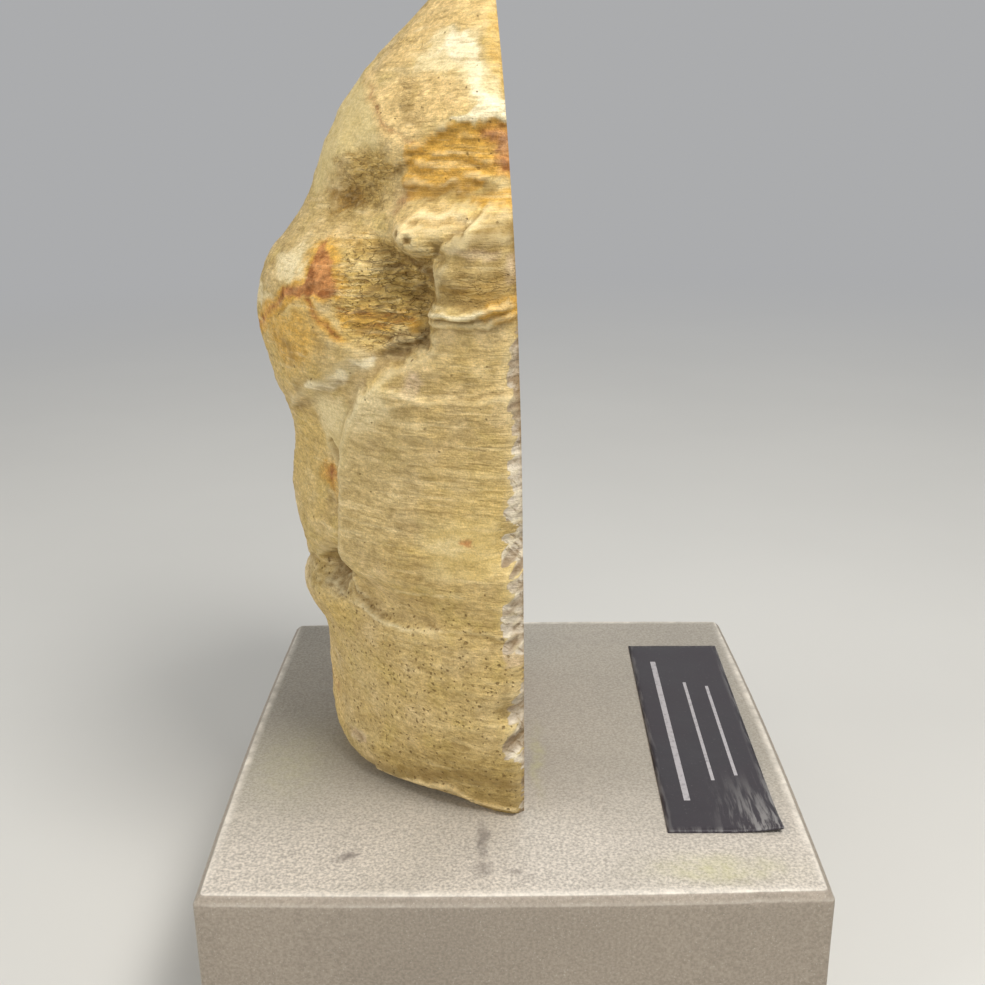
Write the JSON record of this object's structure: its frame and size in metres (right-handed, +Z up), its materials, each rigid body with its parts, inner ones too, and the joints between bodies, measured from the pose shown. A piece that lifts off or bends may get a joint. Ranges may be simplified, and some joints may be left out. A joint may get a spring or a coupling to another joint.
{
  "type": "petrified wood on stand",
  "caption": "Upright chunk of petrified wood, one side sawn flat and polished and the others rough, on a square painted block with a blank thin black plate beside it.",
  "frame": {"origin": "centre of the square block's underside, which rests on the table", "axes": "+Z up along the upright wood; +X out of the wood's polished face, towards the plate; -Y is the near side, where the wood's grainy outer side and the block's front are"},
  "size_m": [0.129, 0.129, 0.216],
  "materials": {
    "petrified_wood": "matte",
    "stand_paint": "satin",
    "label_black": "satin"
  },
  "bodies": {
    "root": {"petrified_wood": "petrified_wood", "stand_block": "stand_paint", "label_plate": "label_black"}
  },
  "joints": []
}
